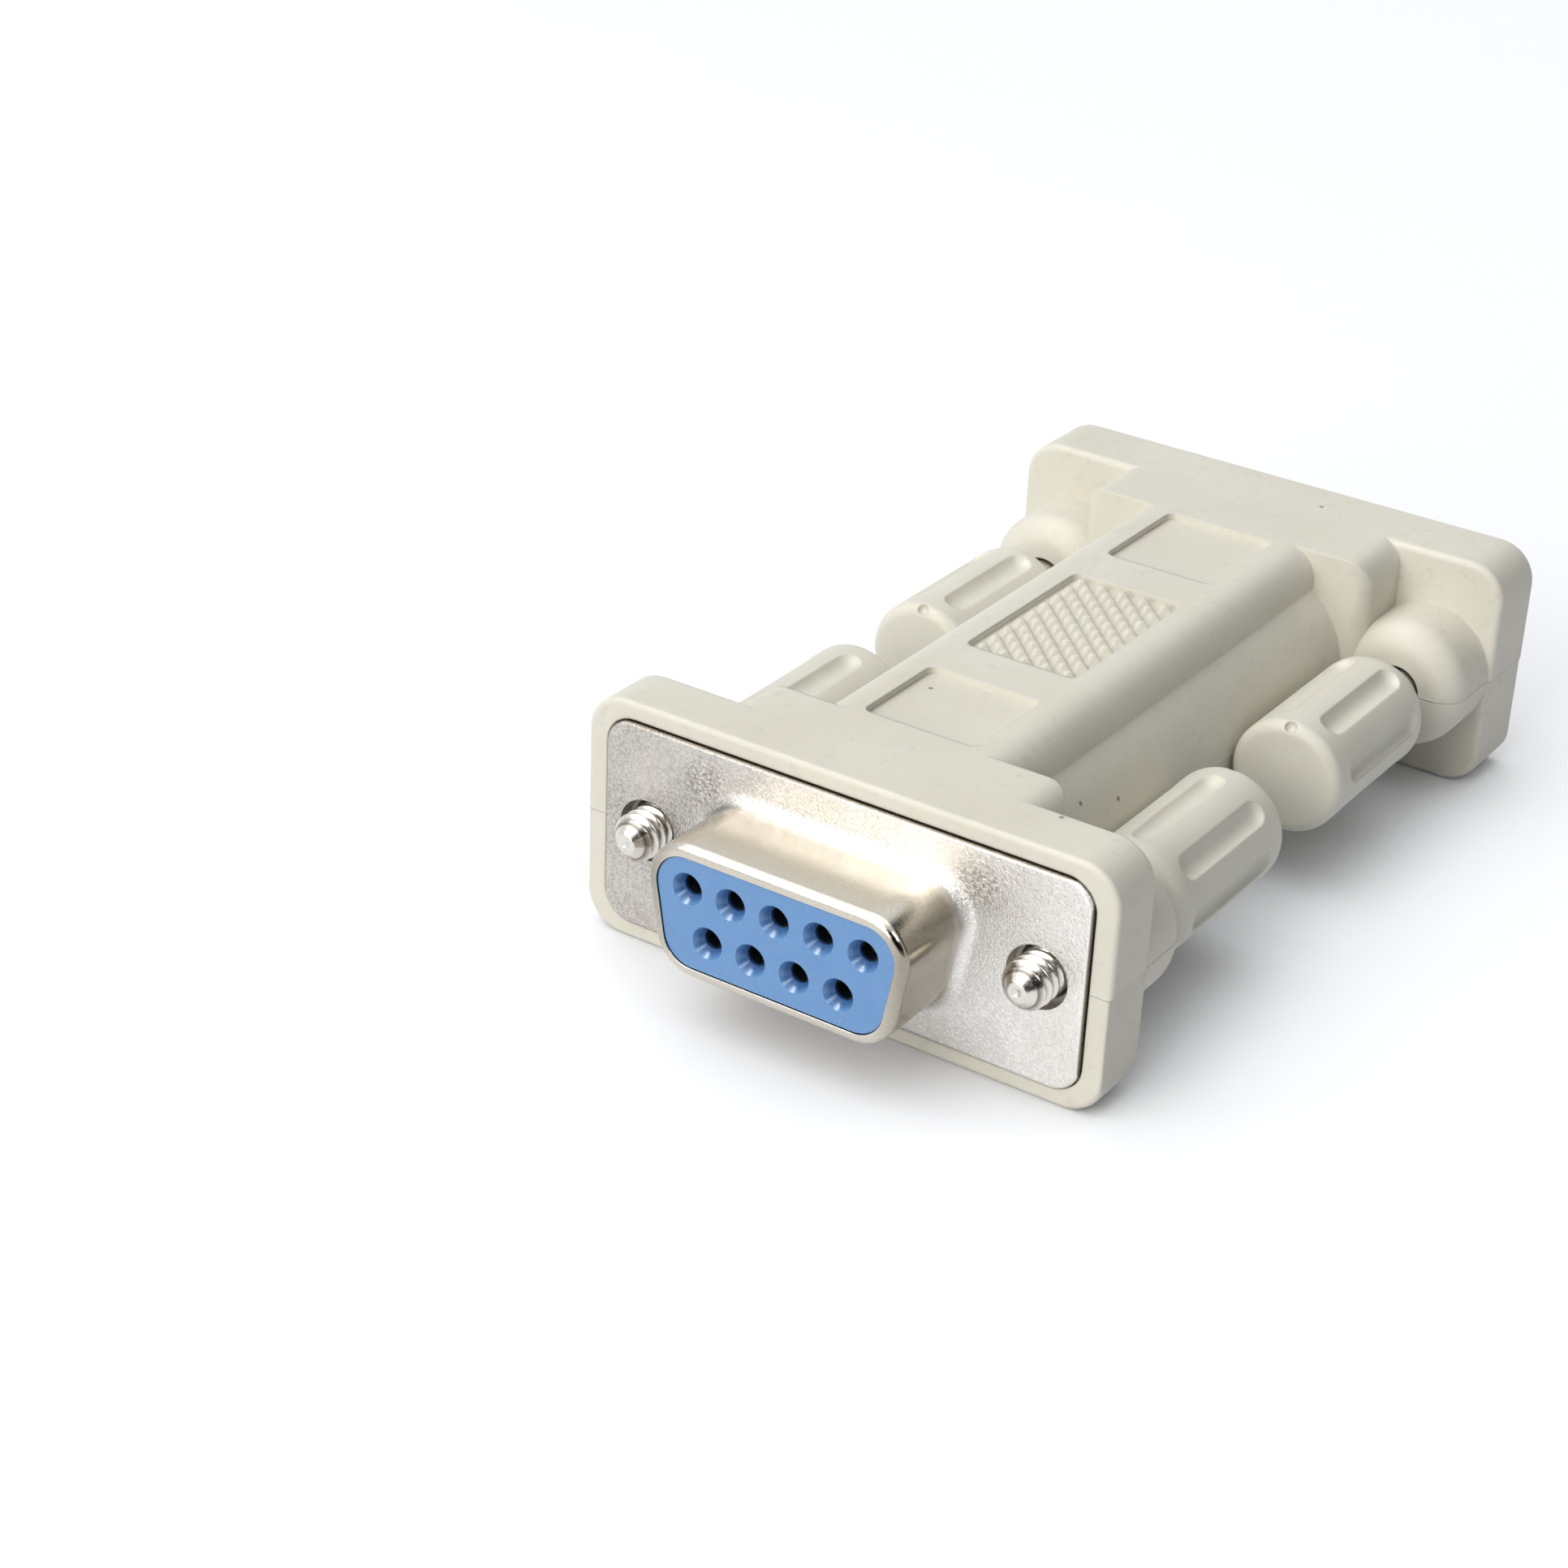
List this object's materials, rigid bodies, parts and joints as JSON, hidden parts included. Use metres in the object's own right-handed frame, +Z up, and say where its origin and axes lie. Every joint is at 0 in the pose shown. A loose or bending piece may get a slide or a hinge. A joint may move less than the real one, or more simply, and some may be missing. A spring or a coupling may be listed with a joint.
{
  "type": "d-sub gender changer",
  "caption": "Moulded inline adapter with a D-shaped socket connector facing out at each end, captive thumbscrews beside them and a waisted body with a knurled panel.",
  "frame": {"origin": "middle of the base: halfway between the two connector plates, on the centre plane between the thumbscrew pairs, at the height of the surface the part lies on", "axes": "+X across the width, to the right seen from the near connector; +Y from the near connector to the far one; +Z up, towards the long row of contacts and the knurled panel"},
  "size_m": [0.0336, 0.0644, 0.0148],
  "materials": {
    "moulded_body": "fine moulded PVC, beige",
    "screw_grip": "smooth moulded PVC, beige",
    "plated_shell": "bright plated sheet steel",
    "screw_steel": "nickel-plated turned steel",
    "blue_insulator": "moulded thermoplastic, blue",
    "rear_insulator": "moulded thermoplastic, black",
    "contact_metal": "plated copper alloy",
    "board": "glass-epoxy laminate, green"
  },
  "bodies": {
    "adapter_body": {"overmould": "moulded_body", "circuit_board": "board", "near_face_shell": "plated_shell", "near_rear_shell": "plated_shell", "near_face_insulator": "blue_insulator", "near_rear_insulator": "rear_insulator", "near_contact_1": "contact_metal", "near_contact_2": "contact_metal", "near_contact_3": "contact_metal", "near_contact_4": "contact_metal", "near_contact_5": "contact_metal", "near_contact_6": "contact_metal", "near_contact_7": "contact_metal", "near_contact_8": "contact_metal", "near_contact_9": "contact_metal", "far_face_shell": "plated_shell", "far_rear_shell": "plated_shell", "far_face_insulator": "blue_insulator", "far_rear_insulator": "rear_insulator", "far_contact_1": "contact_metal", "far_contact_2": "contact_metal", "far_contact_3": "contact_metal", "far_contact_4": "contact_metal", "far_contact_5": "contact_metal", "far_contact_6": "contact_metal", "far_contact_7": "contact_metal", "far_contact_8": "contact_metal", "far_contact_9": "contact_metal"},
    "near_left_screw_body": {"near_left_screw": "screw_steel"},
    "near_left_grip_body": {"near_left_grip": "screw_grip"},
    "near_right_screw_body": {"near_right_screw": "screw_steel"},
    "near_right_grip_body": {"near_right_grip": "screw_grip"},
    "far_left_screw_body": {"far_left_screw": "screw_steel"},
    "far_left_grip_body": {"far_left_grip": "screw_grip"},
    "far_right_screw_body": {"far_right_screw": "screw_steel"},
    "far_right_grip_body": {"far_right_grip": "screw_grip"}
  },
  "joints": [
    {"name": "near_left_travel", "type": "slide", "parent": "adapter_body", "child": "near_left_screw_body", "axis": [0, 1, 0], "range_m": [0, 0.003]},
    {"name": "near_left_turn", "type": "hinge", "parent": "near_left_screw_body", "child": "near_left_grip_body", "pos_m": [-0.01249, -0.01105, 0.0074], "axis": [0, 1, 0], "continuous": true},
    {"name": "near_right_travel", "type": "slide", "parent": "adapter_body", "child": "near_right_screw_body", "axis": [0, 1, 0], "range_m": [0, 0.003]},
    {"name": "near_right_turn", "type": "hinge", "parent": "near_right_screw_body", "child": "near_right_grip_body", "pos_m": [0.01249, -0.01105, 0.0074], "axis": [0, 1, 0], "continuous": true},
    {"name": "far_left_travel", "type": "slide", "parent": "adapter_body", "child": "far_left_screw_body", "axis": [0, 1, 0], "range_m": [-0.003, 0.0023]},
    {"name": "far_left_turn", "type": "hinge", "parent": "far_left_screw_body", "child": "far_left_grip_body", "pos_m": [-0.01249, 0.00785, 0.0074], "axis": [0, 1, 0], "continuous": true},
    {"name": "far_right_travel", "type": "slide", "parent": "adapter_body", "child": "far_right_screw_body", "axis": [0, 1, 0], "range_m": [-0.003, 0.0023]},
    {"name": "far_right_turn", "type": "hinge", "parent": "far_right_screw_body", "child": "far_right_grip_body", "pos_m": [0.01249, 0.00785, 0.0074], "axis": [0, 1, 0], "continuous": true}
  ]
}
